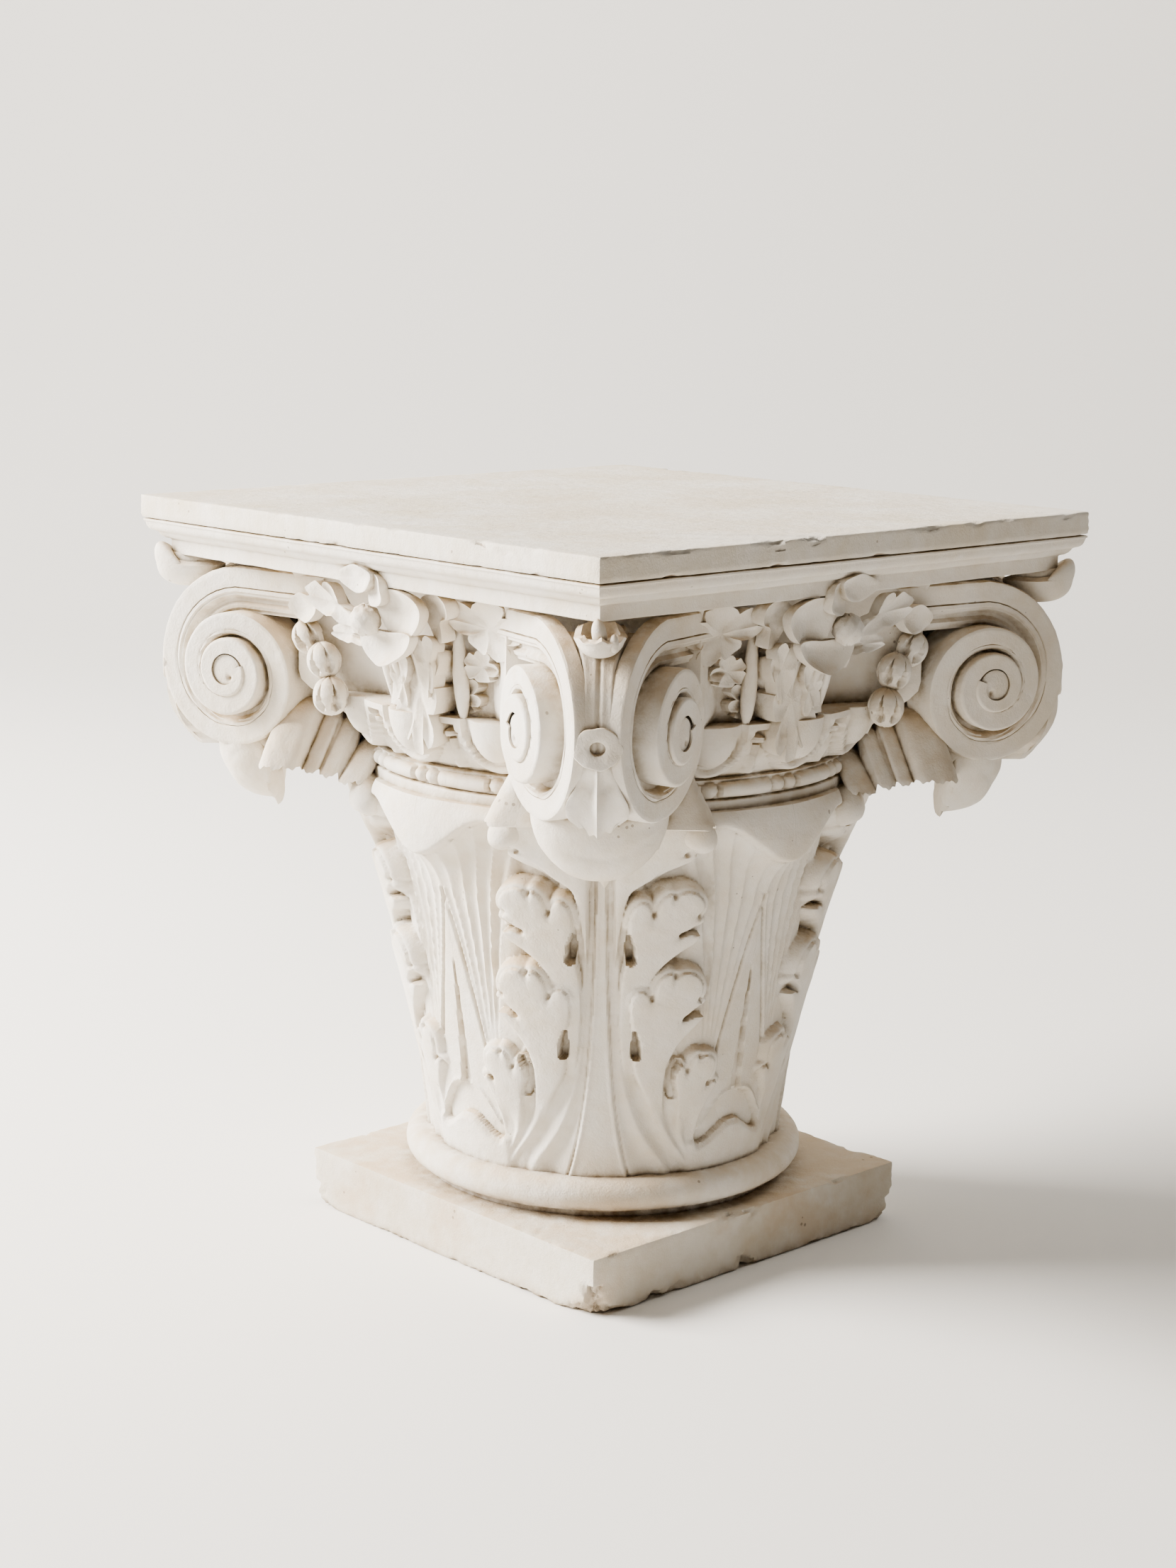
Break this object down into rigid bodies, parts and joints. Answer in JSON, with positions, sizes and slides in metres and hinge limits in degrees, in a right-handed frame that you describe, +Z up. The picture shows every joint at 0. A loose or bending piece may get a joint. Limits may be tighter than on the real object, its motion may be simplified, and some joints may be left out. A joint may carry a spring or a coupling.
{
  "type": "capital console",
  "caption": "Square-topped console shaped as a Composite capital, with leaf carving, diagonal volutes, moulded abacus and a plain foot slab.",
  "frame": {"origin": "middle of the plinth's underside, where it stands on the floor", "axes": "+Z up along the capital's axis, X and Y square to the slab's sides; the seen corner is at -X, -Y"},
  "size_m": [0.58, 0.58, 0.6408],
  "materials": {
    "plinth_plaster": "cast plaster, greyed and stained, broken edges",
    "capital_plaster": "matt off-white cast plaster with dirt in the hollows",
    "slab_plaster": "matt cream cast plaster, worn arrises"
  },
  "bodies": {
    "root": {"base_plinth": "plinth_plaster", "capital": "capital_plaster", "top_slab": "slab_plaster"}
  },
  "joints": []
}
